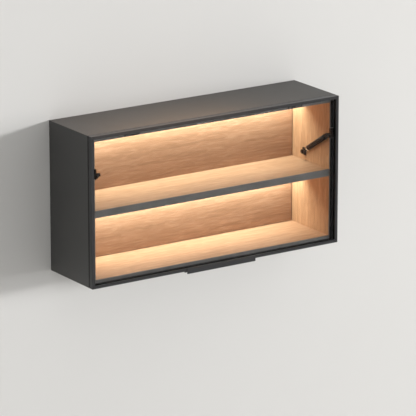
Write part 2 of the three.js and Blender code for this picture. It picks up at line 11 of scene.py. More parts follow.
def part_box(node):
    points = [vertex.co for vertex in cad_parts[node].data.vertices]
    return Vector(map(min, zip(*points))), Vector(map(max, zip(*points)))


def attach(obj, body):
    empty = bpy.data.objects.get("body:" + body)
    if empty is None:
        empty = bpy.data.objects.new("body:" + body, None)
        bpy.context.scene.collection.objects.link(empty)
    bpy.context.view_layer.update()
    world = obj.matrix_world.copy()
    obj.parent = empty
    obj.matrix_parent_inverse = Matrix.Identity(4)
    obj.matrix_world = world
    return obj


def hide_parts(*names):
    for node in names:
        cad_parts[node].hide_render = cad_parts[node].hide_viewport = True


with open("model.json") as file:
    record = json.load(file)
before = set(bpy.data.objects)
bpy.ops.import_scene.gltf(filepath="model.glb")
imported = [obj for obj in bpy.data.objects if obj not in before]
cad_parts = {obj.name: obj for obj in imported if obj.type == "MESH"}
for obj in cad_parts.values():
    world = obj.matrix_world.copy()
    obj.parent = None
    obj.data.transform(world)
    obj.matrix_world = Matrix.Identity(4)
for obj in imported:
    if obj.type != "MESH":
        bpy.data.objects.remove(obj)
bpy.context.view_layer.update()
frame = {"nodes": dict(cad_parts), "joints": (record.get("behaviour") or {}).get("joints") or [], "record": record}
NODES = frame["nodes"]
MM = 0.001


# ---------------------------------------------------------------- places, from the frame


def span(node):
    """Lowest and highest corner of a CAD node."""
    low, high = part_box(node)
    return Vector(low), Vector(high)


FLAP_FRONT = span("flap_left_rail")[0].y
BOARD_LOW, BOARD_HIGH = span("case_left_board")
CASE_LOW = Vector((BOARD_LOW.x, FLAP_FRONT, span("case_bottom_board")[0].z))
CASE_HIGH = Vector((span("case_right_board")[1].x, BOARD_HIGH.y, span("case_top_board")[1].z))
CASE_CENTRE = (CASE_LOW + CASE_HIGH) / 2
WALL_PLANE = span("wall_rail")[1].y
SLOT_OF = {row["node"]: row["material_slot"] for row in frame["record"]["subparts"]}
PIECES = {}


# ---------------------------------------------------------------- camera

# The camera stands a little right of and below the line to the case's centre, to frame it as the photo does.
CAMERA_AZIMUTH = math.radians(-33.63)
CAMERA_ELEVATION = math.radians(16.08)
CAMERA_DISTANCE = 12.085
CAMERA_LENS = 307.1
CAMERA_RIGHT = 0.0409
CAMERA_UP = -0.0875
SENSOR_WIDTH = 36
CLIP_END = 100


def add_camera():
    data = bpy.data.cameras.new("camera")
    data.lens = CAMERA_LENS
    data.sensor_width = SENSOR_WIDTH
    data.clip_end = CLIP_END
    camera = bpy.data.objects.new("camera", data)
    bpy.context.scene.collection.objects.link(camera)
    back = Vector(
        (
            math.sin(CAMERA_AZIMUTH) * math.cos(CAMERA_ELEVATION),
            -math.cos(CAMERA_AZIMUTH) * math.cos(CAMERA_ELEVATION),
            math.sin(CAMERA_ELEVATION),
        )
    )
    right = Vector((math.cos(CAMERA_AZIMUTH), math.sin(CAMERA_AZIMUTH), 0))
    up = back.cross(right)
    camera.location = CASE_CENTRE + back * CAMERA_DISTANCE + right * CAMERA_RIGHT + up * CAMERA_UP
    camera.rotation_mode = "QUATERNION"
    camera.rotation_quaternion = Matrix((right, up, back)).transposed().to_quaternion()
    bpy.context.scene.camera = camera


# ---------------------------------------------------------------- material tools


class Look:
    """A node material with short ways to add and join nodes."""

    def __init__(self, name):
        self.material = bpy.data.materials.new(name)
        self.material.use_nodes = True
        self.tree = self.material.node_tree
        self.tree.nodes.clear()
        self.output = self.node("ShaderNodeOutputMaterial")

    def node(self, kind, inputs=None, **settings):
        made = self.tree.nodes.new(kind)
        for key, value in settings.items():
            setattr(made, key, value)
        for key, value in (inputs or {}).items():
            self.feed(value, made.inputs[key])
        return made

    def feed(self, value, socket):
        """Joins a node's first output, or a socket, to the socket, or sets a plain value on it."""
        if isinstance(value, bpy.types.Node):
            value = value.outputs[0]
        if isinstance(value, bpy.types.NodeSocket):
            self.tree.links.new(value, socket)
        else:
            socket.default_value = value

    def place(self, stretch=(1, 1, 1), offset=(0, 0, 0)):
        """Object coordinates in metres, stretched."""
        where = self.node("ShaderNodeTexCoord")
        mapping = self.node("ShaderNodeMapping", {"Scale": stretch, "Location": offset})
        self.feed(where.outputs["Object"], mapping.inputs["Vector"])
        return mapping

    def noise(self, place, scale, detail, roughness=0.55, distortion=0.0):
        return self.node(
            "ShaderNodeTexNoise",
            {
                "Vector": place,
                "Scale": scale,
                "Detail": detail,
                "Roughness": roughness,
                "Distortion": distortion,
            },
        )

    def between(self, value, low, high, new_low=0.0, new_high=1.0):
        """Maps a number from one range to another, clamped."""
        return self.node(
            "ShaderNodeMapRange",
            {"Value": value, "From Min": low, "From Max": high, "To Min": new_low, "To Max": new_high},
        )

    def blend(self, factor, first, second, mode="MIX"):
        """Mixes two colours."""
        mixer = self.node("ShaderNodeMix", data_type="RGBA", blend_type=mode)
        self.feed(factor, mixer.inputs["Factor"])
        self.feed(first, mixer.inputs["A"])
        self.feed(second, mixer.inputs["B"])
        return mixer.outputs["Result"]

    def maths(self, operation, first, second=0.0):
        made = self.node("ShaderNodeMath", operation=operation)
        self.feed(first, made.inputs[0])
        self.feed(second, made.inputs[1])
        return made

    def part_of(self, place, axis_name):
        """One coordinate of a place, named X, Y or Z."""
        return self.node("ShaderNodeSeparateXYZ", {"Vector": place}).outputs[axis_name]

    def bump(self, height, distance, strength):
        return self.node("ShaderNodeBump", {"Height": height, "Distance": distance, "Strength": strength})

    def surface(self, **inputs):
        """The principled shader, with its inputs named as Blender names them, underscores for spaces."""
        named = {key.replace("_", " "): value for key, value in inputs.items()}
        shader = self.node("ShaderNodeBsdfPrincipled", named)
        self.feed(shader, self.output.inputs["Surface"])

    def choose(self, factor, first, second):
        """The surface is the first shader where the factor is 0, and the second where it is 1."""
        choice = self.node("ShaderNodeMixShader")
        self.feed(factor, choice.inputs[0])
        self.feed(first, choice.inputs[1])
        self.feed(second, choice.inputs[2])
        self.feed(choice, self.output.inputs["Surface"])


def rgb(red, green, blue):
    return (red, green, blue, 1.0)


X_AXIS, Y_AXIS, Z_AXIS = 0, 1, 2


def along(axis, stretch):
    """Stretch that draws a pattern out along one axis."""
    return tuple(1.0 if index == axis else stretch for index in range(3))


# ---------------------------------------------------------------- materials

OAK_DARK = rgb(0.335, 0.176, 0.089)
OAK_LIGHT = rgb(0.485, 0.276, 0.154)
OAK_BROAD = rgb(0.38, 0.203, 0.106)
OAK_FLECK = rgb(0.58, 0.350, 0.205)
OAK_PORE = rgb(0.16, 0.070, 0.031)

# The oak's patterns: how much finer each is across the grain than along it, and its noise.
OAK_BANDS = {"stretch": 7.0, "scale": 1.6, "detail": 3.0, "roughness": 0.5, "distortion": 0.6}
OAK_FIGURE = {"stretch": 22.0, "scale": 3.2, "detail": 5.0, "roughness": 0.62, "distortion": 0.9}
OAK_FLECKS = {"stretch": 7.0, "scale": 26.0, "detail": 3.0, "roughness": 0.6, "distortion": 0.5}
OAK_PORES = {"stretch": 90.0, "scale": 14.0, "detail": 2.0, "roughness": 0.5, "distortion": 0.0}
PORE_STRENGTH = 0.5
PLACE_IN_LOG = (3.71, 1.93, 5.17)  # step from one board's place in the log to the next one's


def oak(name, grain_axis, seed, light_and_shade):
    """Matt oak veneer. The grain runs along one axis, and each board is cut from its own place in the log.

    The last argument multiplies the colour: painted light and shade, which makes a board look more or less
    brightly lit than the others.
    """
    look = Look(name)
    shift = tuple(seed * step for step in PLACE_IN_LOG)

    def pattern(stretch, **noise):
        return look.noise(look.place(along(grain_axis, stretch), shift), **noise)

    bands = pattern(**OAK_BANDS)
    figure = pattern(**OAK_FIGURE)
    flecks = pattern(**OAK_FLECKS)
    pores = look.between(pattern(**OAK_PORES), low=0.62, high=0.7)
    colour = look.blend(look.between(figure, low=0.32, high=0.7), OAK_DARK, OAK_LIGHT)
    colour = look.blend(look.between(bands, low=0.35, high=0.68, new_high=0.5), colour, OAK_BROAD)
    colour = look.blend(look.between(flecks, low=0.48, high=0.66, new_high=0.5), colour, OAK_FLECK)
    colour = look.blend(look.maths("MULTIPLY", pores, PORE_STRENGTH), colour, OAK_PORE)
    # painted light and shade: the board's whole colour scaled brighter or darker
    colour = look.blend(1.0, colour, rgb(*light_and_shade), "MULTIPLY")
    relief = look.maths("SUBTRACT", look.between(flecks, low=0.3, high=0.8, new_high=0.5), pores)
    look.surface(
        Base_Color=colour,
        Roughness=look.between(figure, low=0.3, high=0.7, new_low=0.62, new_high=0.5),
        Specular_IOR_Level=0.3,
        Normal=look.bump(relief, distance=0.12 * MM, strength=0.6),
    )
    return look.material


# Painted shade: the shadow line in the gap round the flap is painted black onto the boards' and the bands' front
# edges.
GAP_SHADE_BLACK = rgb(0.010, 0.010, 0.010)
BAND_SHADE_WIDTH = 3 * MM  # how much of a front band, from the case's side inwards, is painted black as the gap's shade
BOARD_SHADE_DEPTH = 5.5 * MM  # how far behind the front the boards' lacquer is painted black as the gap's shade
SHADE_FADE = 0.1  # share of a painted shade strip over which its black fades out

LACQUER_DARK = rgb(0.047, 0.047, 0.046)
LACQUER_LIGHT = rgb(0.061, 0.060, 0.057)
LACQUER_DUST = rgb(0.13, 0.125, 0.115)


def lacquer():
    """Fine-textured satin lacquer, a little worn and dusty, with painted shade: black along the boards' front
    edge, as the shadow in the gap round the flap.
    """
    look = Look("graphite_lacquer")
    place = look.place()
    cloud = look.noise(place, scale=3.0, detail=4.0)
    dust = look.noise(place, scale=260.0, detail=2.0)
    peel = look.noise(place, scale=900.0, detail=2.0)
    colour = look.blend(look.between(cloud, low=0.35, high=0.65), LACQUER_DARK, LACQUER_LIGHT)
    colour = look.blend(look.between(dust, low=0.66, high=0.8, new_high=0.35), colour, LACQUER_DUST)
    shade_end = span("left_edge_band")[0].y + BOARD_SHADE_DEPTH
    # painted shade: black near the front, where the gap round the flap is in shadow
    painted_gap_shade = look.between(look.part_of(place, "Y"), low=shade_end, high=shade_end - SHADE_FADE * BOARD_SHADE_DEPTH)
    look.surface(
        Base_Color=look.blend(painted_gap_shade, colour, GAP_SHADE_BLACK),
        Roughness=look.between(cloud, low=0.3, high=0.7, new_low=0.40, new_high=0.50),
        Normal=look.bump(peel, distance=0.05 * MM, strength=0.5),
    )
    return look.material


EDGING_DARK = rgb(0.182, 0.182, 0.186)
EDGING_LIGHT = rgb(0.217, 0.216, 0.220)


def edging():
    """Satin grey edging with a fine moulded texture, with painted shade: black at the case's sides, as the shadow
    in the gap round the flap.
    """
    look = Look("edge_band")
    place = look.place()
    cloud = look.noise(place, scale=20.0, detail=3.0)
    grain = look.noise(place, scale=1200.0, detail=2.0)
    colour = look.blend(look.between(cloud, low=0.35, high=0.65), EDGING_DARK, EDGING_LIGHT)
    from_middle = look.maths("ABSOLUTE", look.part_of(place, "X"))
    shade_start = CASE_HIGH.x - BAND_SHADE_WIDTH
    # painted shade: black at the outer edge, where the gap round the flap is in shadow
    painted_gap_shade = look.between(from_middle, low=shade_start, high=shade_start + SHADE_FADE * BAND_SHADE_WIDTH)
    look.surface(
        Base_Color=look.blend(painted_gap_shade, colour, GAP_SHADE_BLACK),
        Roughness=0.55,
        Normal=look.bump(grain, distance=0.04 * MM, strength=0.5),
    )
    return look.material


BRUSH_STRETCH = 80.0
BRUSH_CHANGE = 0.06  # how much the brush lines change the roughness, up and down


def brushed_metal(name, dark, light, roughness, brush_axis):
    """Brushed or drawn metal, with the brush lines along one axis."""
    look = Look(name)
    lines = look.noise(look.place(along(brush_axis, BRUSH_STRETCH)), scale=40.0, detail=3.0, roughness=0.6)
    cloud = look.noise(look.place(), scale=14.0, detail=3.0)
    change = look.between(lines, low=0.3, high=0.7, new_low=-BRUSH_CHANGE, new_high=BRUSH_CHANGE)
    look.surface(
        Base_Color=look.blend(look.between(cloud, low=0.3, high=0.7), dark, light),
        Metallic=1.0,
        Roughness=look.maths("ADD", change, roughness),
        Normal=look.bump(lines, distance=0.02 * MM, strength=0.4),
    )
    return look.material


ANODISED_DARK = rgb(0.025, 0.025, 0.027)
ANODISED_LIGHT = rgb(0.031, 0.031, 0.033)


def anodised():
    """Near-black anodised aluminium: a fine, even, slightly glossy grain."""
    look = Look("dark_aluminium")
    cloud = look.noise(look.place(), scale=9.0, detail=3.0)
    grain = look.noise(look.place(), scale=1800.0, detail=2.0)
    look.surface(
        Base_Color=look.blend(look.between(cloud, low=0.3, high=0.7), ANODISED_DARK, ANODISED_LIGHT),
        Roughness=look.between(cloud, low=0.3, high=0.7, new_low=0.32, new_high=0.38),
        Normal=look.bump(grain, distance=0.004 * MM, strength=0.2),
    )
    return look.material


COATING_DARK = rgb(0.014, 0.006, 0.003)
COATING_LIGHT = rgb(0.027, 0.012, 0.006)


def coated_steel():
    """Black-brown stoved coating, rubbed a little."""
    look = Look("black_steel")
    place = look.place()
    cloud = look.noise(place, scale=60.0, detail=3.0)
    grit = look.noise(place, scale=1500.0, detail=2.0)
    look.surface(
        Base_Color=look.blend(look.between(cloud, low=0.35, high=0.7), COATING_DARK, COATING_LIGHT),
        Specular_IOR_Level=0.2,
        Roughness=look.between(cloud, low=0.3, high=0.7, new_low=0.34, new_high=0.46),
        Normal=look.bump(grit, distance=0.03 * MM, strength=0.5),
    )
    return look.material


CHROME = rgb(0.82, 0.82, 0.83)


def chrome():
    """Ground and chromed rod, with faint traces of the grinding."""
    look = Look("chrome_rod")
    traces = look.noise(look.place(), scale=700.0, detail=2.0)
    look.surface(
        Base_Color=CHROME,
        Metallic=1.0,
        Roughness=look.between(traces, low=0.3, high=0.7, new_low=0.06, new_high=0.14),
        Normal=look.bump(traces, distance=0.005 * MM, strength=0.3),
    )
    return look.material


RUBBER_DARK = rgb(0.007, 0.007, 0.007)
RUBBER_LIGHT = rgb(0.014, 0.014, 0.014)


def rubber():
    """Matt black rubber."""
    look = Look("seal_rubber")
    grain = look.noise(look.place(), scale=800.0, detail=3.0)
    look.surface(
        Base_Color=look.blend(look.between(grain, low=0.4, high=0.7), RUBBER_DARK, RUBBER_LIGHT),
        Roughness=0.8,
        Specular_IOR_Level=0.15,
        Normal=look.bump(grain, distance=0.05 * MM, strength=0.6),
    )
    return look.material


WOOD_DARK = rgb(0.36, 0.215, 0.10)
WOOD_LIGHT = rgb(0.56, 0.38, 0.20)
WOOD_FIGURE = {"scale": 5.0, "detail": 4.0, "roughness": 0.6, "distortion": 0.4}
WOOD_STRETCH = 18.0


def plain_wood():
    """Unfinished softwood with an upright grain."""
    look = Look("plain_wood")
    figure = look.noise(look.place(along(Z_AXIS, WOOD_STRETCH)), **WOOD_FIGURE)
    look.surface(
        Base_Color=look.blend(look.between(figure, low=0.3, high=0.7), WOOD_DARK, WOOD_LIGHT),
        Roughness=0.7,
        Normal=look.bump(figure, distance=0.2 * MM, strength=0.5),
    )
    return look.material


def plastic(name, dark, light):
    """Moulded plastic with a fine grain."""
    look = Look(name)
    grain = look.noise(look.place(), scale=500.0, detail=2.0)
    look.surface(
        Base_Color=look.blend(look.between(grain, low=0.4, high=0.6), dark, light),
        Roughness=0.5,
        Normal=look.bump(grain, distance=0.03 * MM, strength=0.4),
    )
    return look.material


LED_COLOUR = (1.0, 1.15, 1.12)
LED_COVER_GLOW = 3.0
OPAL_DARK = rgb(0.86, 0.78, 0.66)
OPAL_LIGHT = rgb(0.92, 0.86, 0.76)


def opal():
    """The lit opal cover of an LED line."""
    look = Look("opal_cover")
    grain = look.noise(look.place(), scale=300.0, detail=2.0)
    look.surface(
        Base_Color=look.blend(grain, OPAL_DARK, OPAL_LIGHT),
        Roughness=0.45,
        Emission_Color=rgb(*LED_COLOUR),
        Emission_Strength=LED_COVER_GLOW,
        Normal=look.bump(grain, distance=0.03 * MM, strength=0.3),
    )
    return look.material


LOW_REFLECTION_IOR = 1.18  # a coated pane mirrors far less than bare glass, which would be 1.5
GLASS_TINT = rgb(0.97, 0.985, 0.98)
LIGHT_THROUGH_GLASS = rgb(0.60, 0.58, 0.56)
SMEAR_STRETCH = (1, 1, 2)
SMEAR_ROUGHNESS = 0.03


def glass():
    """Clear low-reflection glass. Light reaches the inside straight through it, a little dimmed."""
    look = Look("clear_glass")
    smears = look.noise(look.place(SMEAR_STRETCH), scale=7.0, detail=4.0)
    clear = look.node(
        "ShaderNodeBsdfPrincipled",
        {
            "Base Color": GLASS_TINT,
            "Roughness": look.between(smears, low=0.4, high=0.8, new_high=SMEAR_ROUGHNESS),
            "IOR": LOW_REFLECTION_IOR,
            "Transmission Weight": 1.0,
        },
    )
    passing = look.node("ShaderNodeBsdfTransparent", {"Color": LIGHT_THROUGH_GLASS})
    path = look.node("ShaderNodeLightPath")
    soft_light = look.maths("MAXIMUM", path.outputs["Is Shadow Ray"], path.outputs["Is Diffuse Ray"])
    look.choose(soft_light, clear, passing)
    return look.material


ZINC = {"dark": rgb(0.42, 0.43, 0.45), "light": rgb(0.56, 0.56, 0.57), "roughness": 0.38}
BARE_ALUMINIUM = {"dark": rgb(0.55, 0.55, 0.56), "light": rgb(0.68, 0.68, 0.68), "roughness": 0.32}
LED_BOARD = {"dark": rgb(0.78, 0.76, 0.70), "light": rgb(0.86, 0.84, 0.78)}
DRIVER_CASE = {"dark": rgb(0.68, 0.68, 0.65), "light": rgb(0.76, 0.76, 0.73)}
SLOT_LOOKS = {
    "graphite_lacquer": lacquer(),
    "edge_band": edging(),
    "plain_wood": plain_wood(),
    "zinc_steel": brushed_metal("zinc_steel", brush_axis=X_AXIS, **ZINC),
    "black_steel": coated_steel(),
    "chrome_rod": chrome(),
    "dark_aluminium": anodised(),
    "bare_aluminium": brushed_metal("bare_aluminium", brush_axis=X_AXIS, **BARE_ALUMINIUM),
    "seal_rubber": rubber(),
    "clear_glass": glass(),
    "led_board": plastic("led_board", **LED_BOARD),
    "opal_cover": opal(),
    "driver_case": plastic("driver_case", **DRIVER_CASE),
}
OAK_GRAIN = {
    "back_panel": X_AXIS,
    "shelf_board": X_AXIS,
    "top_liner": X_AXIS,
    "bottom_liner": X_AXIS,
    "left_liner": Z_AXIS,
    "right_liner": Z_AXIS,
}
# Painted light and shade: the back panel's oak is painted darker and the bottom and right liners' oak brighter, in
# place of the light and shade that falls on them. Boards not listed keep their oak colour.
NO_PAINTED_LIGHT = (1.0, 1.0, 1.0)
OAK_PAINTED_LIGHT_AND_SHADE = {
    "back_panel": (0.82, 0.76, 0.77),
    "bottom_liner": (1.09, 1.07, 1.06),
    "right_liner": (1.16, 1.14, 1.09),
}
HINGE_LEAVES = ("hinge_case_leaf", "hinge_flap_leaf")  # finished to match the flap's frame


def finish_cad_nodes():
    """Gives each CAD node its slot's material, and a small bevel on its sharp edges."""
    for row in frame["record"]["subparts"]:
        node, slot = row["node"], row["material_slot"]
        if slot == "oak":
            seed = list(OAK_GRAIN).index(node) + 1
            material = oak(f"oak_{node}", OAK_GRAIN[node], seed, OAK_PAINTED_LIGHT_AND_SHADE.get(node, NO_PAINTED_LIGHT))
        elif node.endswith(HINGE_LEAVES):
            material = SLOT_LOOKS["dark_aluminium"]
        else:
            material = SLOT_LOOKS[slot]
        item = NODES[node]
        item.data.materials.clear()
        item.data.materials.append(material)
        add_bevel(item)


BEVELS = {
    "graphite_lacquer": 0.8 * MM,
    "oak": 0.3 * MM,
    "edge_band": 0.3 * MM,
    "dark_aluminium": 0.4 * MM,
    "clear_glass": 0.4 * MM,
    "plain_wood": 0.5 * MM,
    "driver_case": 2.0 * MM,
    "zinc_steel": 0.3 * MM,
    "black_steel": 0.15 * MM,
}
WELD_REACH = 0.002 * MM
BEVEL_SEGMENTS = 2
BEVEL_FROM = math.radians(40)  # an edge that turns less than this stays as it is


def add_bevel(item):
    width = BEVELS.get(SLOT_OF[item.name])
    if width is None:
        return
    weld = item.modifiers.new("weld", "WELD")
    weld.merge_threshold = WELD_REACH
    bevel = item.modifiers.new("bevel", "BEVEL")
    bevel.width = width
    bevel.segments = BEVEL_SEGMENTS
    bevel.limit_method = "ANGLE"
    bevel.angle_limit = BEVEL_FROM
    bevel.harden_normals = False


# ---------------------------------------------------------------- pieces too fine for the CAD model

HANDS = (("left", -1), ("right", 1))
JOINTS = {row["name"]: row for row in frame["joints"]}
CLEAR = 0.02 * MM  # air left between a small piece and the face it sits on
SHARP_FROM = math.radians(35)  # faces that meet at less than this are shaded as one


def new_piece(name, body, slot, build, *details):
    """Makes a piece by calling build on an empty bmesh, and puts it on its body and in its slot."""
    shape = bmesh.new()
    build(shape, *details)
    bmesh.ops.recalc_face_normals(shape, faces=shape.faces)
    mesh = bpy.data.meshes.new(name)
    shape.to_mesh(mesh)
    shape.free()
    mesh.materials.append(SLOT_LOOKS[slot])
    mesh.shade_smooth()
    mesh.set_sharp_from_angle(angle=SHARP_FROM)
    piece = bpy.data.objects.new(name, mesh)
    bpy.context.scene.collection.objects.link(piece)
    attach(piece, body)
    PIECES[name] = piece
    SLOT_OF[name] = slot
    return piece


def skin(shape, loops, hollow=False):
    """Joins loops of points with faces, from each loop to the next.

    A solid skin is capped at its first and last loop. A hollow one runs back to its first loop.
    """
    pairs = list(zip(loops, loops[1:]))
    if hollow:
        pairs.append((loops[-1], loops[0]))
    else:
        shape.faces.new(loops[0])
        shape.faces.new(loops[-1])
    count = len(loops[0])
    for lower, upper in pairs:
        for step in range(count):
            after = (step + 1) % count
            shape.faces.new((lower[step], lower[after], upper[after], upper[step]))


CROSS_ARM = math.radians(12)  # half the angle that an arm of a cross recess takes up
CROSS_WAIST = 0.45  # reach between the arms


def circle(angle):
    """The outline of a round ring: full reach at every angle."""
    return 1.0


def cross(angle):
    """The outline of a cross recess: full reach along four arms, and less between them."""
    quarter = math.pi / 2
    off_arm = abs((angle + quarter / 2) % quarter - quarter / 2)
    return 1.0 if off_arm < CROSS_ARM else CROSS_WAIST


SMALL_SIDES = 32
RING_SIDES = 48
TUBE_SIDES = 64


def turned(shape, start, axis, rings, sides=SMALL_SIDES, hollow=False):
    """Adds a turned body. A ring is a distance along the axis, a radius and maybe an outline."""
    axis = Vector(axis).normalized()
    across = axis.orthogonal().normalized()
    beside = axis.cross(across)
    loops = []
    for distance, radius, *outline in rings:
        reach = outline[0] if outline else circle
        loop = []
        for step in range(sides):
            angle = 2 * math.pi * step / sides
            way = across * math.cos(angle) + beside * math.sin(angle)
            loop.append(shape.verts.new(Vector(start) + axis * distance + way * radius * reach(angle)))
        loops.append(loop)
    skin(shape, loops, hollow)


# A pan head with a cross recess, from its foot up and down into the recess: shares of its height and radius.
PAN_HEAD = (
    (0, 1, circle),
    (0.35, 1, circle),
    (0.7, 0.9, circle),
    (0.92, 0.7, circle),
    (1, 0.5, circle),
    (1, 0.46, cross),
    (0.4, 0.40, cross),
)


def pan_heads(shape, spots, axis, radius, height):
    """Pan heads standing on a face at each spot."""
    rings = [(rise * height, share * radius, outline) for rise, share, outline in PAN_HEAD]
    for spot in spots:
        turned(shape, Vector(spot) + Vector(axis) * CLEAR, axis, rings)


# The section of a soft bulb seal: shares of its width, and of its height above its foot.
BULB_SECTION = ((0, 0), (0, 0.45), (0.12, 0.85), (0.35, 1), (0.65, 1), (0.88, 0.85), (1, 0.45), (1, 0))


def bulb(shape, low, high, run_axis):
    """A bulb seal that fills the box from low to high, drawn along X or Z, with its foot at the back."""
    across_axis = Z_AXIS if run_axis == X_AXIS else X_AXIS
    loops = []
    for end in (low[run_axis], high[run_axis]):
        loop = []
        for share, rise in BULB_SECTION:
            spot = Vector((0, high[Y_AXIS] + (low[Y_AXIS] - high[Y_AXIS]) * rise, 0))
            spot[run_axis] = end
            spot[across_axis] = low[across_axis] + (high[across_axis] - low[across_axis]) * share
            loop.append(shape.verts.new(spot))
        loops.append(loop)
    skin(shape, loops)


def bulbs(shape, boxes, run_axis):
    for low, high in boxes:
        bulb(shape, low, high, run_axis)


SEAL_REACH = 0.15 * MM  # air between a dust seal and the closed flap
SEAL_FROM_RAIL = 0.3 * MM  # how far inside the flap frame's inner edge a dust seal starts
SIDE_SEAL_WIDTH = 10.5 * MM
LEVEL_SEAL_WIDTH = 1.8 * MM
GAP_SHADE_BEAD = {"inset": 0.4 * MM, "width": 2.5 * MM}  # a slim black bead in the gap along the case's side: painted shade, standing in for the gap's shadow
SEAL_BREAK = 2.5 * MM  # air left where a seal stops for a hinge or a bracket


def add_dust_seals():
    """Black bulb seals on the case's front edge, just inside the line of the flap's frame.

    Each side seal has a slim bead beside it, near the case's side, which is painted shade: a black strip in the
    gap round the flap, standing in for its shadow. Both stop for the strut's flap bracket.
    """
    foot = span("top_edge_band")[0].y - CLEAR
    face = span("flap_top_rail")[1].y + SEAL_REACH
    left = span("flap_left_rail")[1].x + SEAL_FROM_RAIL
    right = span("flap_right_rail")[0].x - SEAL_FROM_RAIL
    top = span("flap_top_rail")[0].z - SEAL_FROM_RAIL
    bottom = span("flap_bottom_rail")[1].z + SEAL_FROM_RAIL
    for (hand, sign), seal_edge in zip(HANDS, (left, right)):
        # painted shade: the bead darkens the gap as its shadow would
        gap_shade_edge = sign * (CASE_HIGH.x - GAP_SHADE_BEAD["inset"])
        gap_shade_start = span(f"flap_{hand}_rail")[0].z
        strips = ((seal_edge, SIDE_SEAL_WIDTH, bottom), (gap_shade_edge, GAP_SHADE_BEAD["width"], gap_shade_start))
        bracket_low, bracket_high = span(f"{hand}_strut_flap_bracket")
        boxes = []
        for outer, width, start in strips:
            low_x, high_x = sorted((outer, outer - sign * width))
            runs = ((start, bracket_low.z - SEAL_BREAK), (bracket_high.z + SEAL_BREAK, top))
            for low_z, high_z in runs:
                boxes.append(((low_x, face, low_z), (high_x, foot, high_z)))
        new_piece(f"{hand}_dust_seal", "case", "seal_rubber", bulbs, boxes, Z_AXIS)
    start = left + SIDE_SEAL_WIDTH + CLEAR
    end = right - SIDE_SEAL_WIDTH - CLEAR
    boxes = [((start, face, bottom), (end, foot, bottom + LEVEL_SEAL_WIDTH))]
    new_piece("bottom_dust_seal", "case", "seal_rubber", bulbs, boxes, X_AXIS)
    stops = [start]
    for hand, _ in HANDS:
        leaf_low, leaf_high = span(f"{hand}_hinge_case_leaf")
        stops += [leaf_low.x - SEAL_BREAK, leaf_high.x + SEAL_BREAK]
    stops.append(end)
    boxes = []
    for from_x, to_x in zip(stops[::2], stops[1::2]):
        boxes.append(((from_x, face, top - LEVEL_SEAL_WIDTH), (to_x, foot, top)))
    new_piece("top_dust_seal", "case", "seal_rubber", bulbs, boxes, X_AXIS)


BUMPER_RADIUS = 3.6 * MM
BUMPER_FOOT = 0.35  # share of its height that is straight, below the dome
BUMPER_TURNS = [math.radians(turn) for turn in (30, 55, 75)]  # where the dome's rings are, from its foot up
BUMPER_PLACE = 0.88  # how far out from the middle, as a share of half the case's width


def add_bumpers():
    """Two soft domes on the bottom edge, that the closed flap's rail rests on."""
    foot = span("bottom_edge_band")[0].y
    rail_low, rail_high = span("flap_bottom_rail")
    height = foot - rail_high.y - SEAL_REACH
    rings = [(0, BUMPER_RADIUS), (BUMPER_FOOT * height, BUMPER_RADIUS)]
    for turn in BUMPER_TURNS:
        rise = BUMPER_FOOT + (1 - BUMPER_FOOT) * math.sin(turn)
        rings.append((height * rise, BUMPER_RADIUS * math.cos(turn)))
    for hand, sign in HANDS:
        spot = Vector((sign * BUMPER_PLACE * CASE_HIGH.x, foot - CLEAR, (rail_low.z + rail_high.z) / 2))
        new_piece(f"{hand}_bumper", "case", "seal_rubber", turned, spot, (0, -1, 0), rings)


TUBE_WALL = 1.5 * MM
TUBE_GUIDE = {"bore": 4.3 * MM, "length": 6 * MM}  # the rod's guide inside the tube's mouth
TUBE_PLUG_LENGTH = 4 * MM
TUBE_GROOVE = {"from_mouth": 11 * MM, "half_width": 1.6 * MM, "half_floor": 0.64 * MM, "depth": 0.9 * MM}
TUBE_ROLL = 1.4 * MM  # size of the rolled edge at the tube's ends
ROLL_MIDDLE = 0.4 * TUBE_ROLL
FERRULE = {"ahead": 2.4 * MM, "over": 6.5 * MM, "bore": 4.5 * MM, "thickness": 0.4 * MM}
FERRULE_NOSE = {"width": 2.2 * MM, "length": 1.68 * MM}
TUBE_CAP = {"length": 15 * MM, "from_end": 1.2 * MM, "thickness": 0.5 * MM, "lip": 0.25 * MM}


def reach_along(node, start, axis):
    """Nearest and furthest point of a node along an axis, and its greatest distance from the axis."""
    spots = [Vector(vertex.co) - start for vertex in NODES[node].data.vertices]
    distances = [spot.dot(axis) for spot in spots]
    radius = max((spot - axis * distance).length for spot, distance in zip(spots, distances))
    return min(distances), max(distances), radius


def tube_rings(near, far, radius):
    """The pressure tube: its bore, the mouth's rolled edge, the groove, and the far end's rolled edge."""
    guide_end = near + TUBE_GUIDE["length"]
    groove, half_groove = near + TUBE_GROOVE["from_mouth"], TUBE_GROOVE["half_width"]
    half_floor, floor_radius = TUBE_GROOVE["half_floor"], radius - TUBE_GROOVE["depth"]
    return [
        (far - TUBE_PLUG_LENGTH, radius - TUBE_WALL),
        (guide_end, radius - TUBE_WALL),
        (guide_end, TUBE_GUIDE["bore"]),
        (near, TUBE_GUIDE["bore"]),
        (near, radius - TUBE_ROLL),
        (near + ROLL_MIDDLE, radius - ROLL_MIDDLE),
        (near + TUBE_ROLL, radius),
        (groove - half_groove, radius),
        (groove - half_floor, floor_radius),
        (groove + half_floor, floor_radius),
        (groove + half_groove, radius),
        (far - TUBE_ROLL, radius),
        (far - ROLL_MIDDLE, radius - ROLL_MIDDLE),
        (far, radius - TUBE_ROLL),
    ]


def ferrule_rings(near, radius):
    """The bright ferrule around the tube's mouth, with a tapered nose."""
    outside, inside = radius + FERRULE["thickness"], radius + CLEAR
    tip = near - FERRULE["ahead"]
    return [
        (near - CLEAR, FERRULE["bore"]),
        (tip, FERRULE["bore"]),
        (tip, outside - FERRULE_NOSE["width"]),
        (tip + FERRULE_NOSE["length"], outside),
        (near + FERRULE["over"], outside),
        (near + FERRULE["over"], inside),
        (near - CLEAR, inside),
    ]


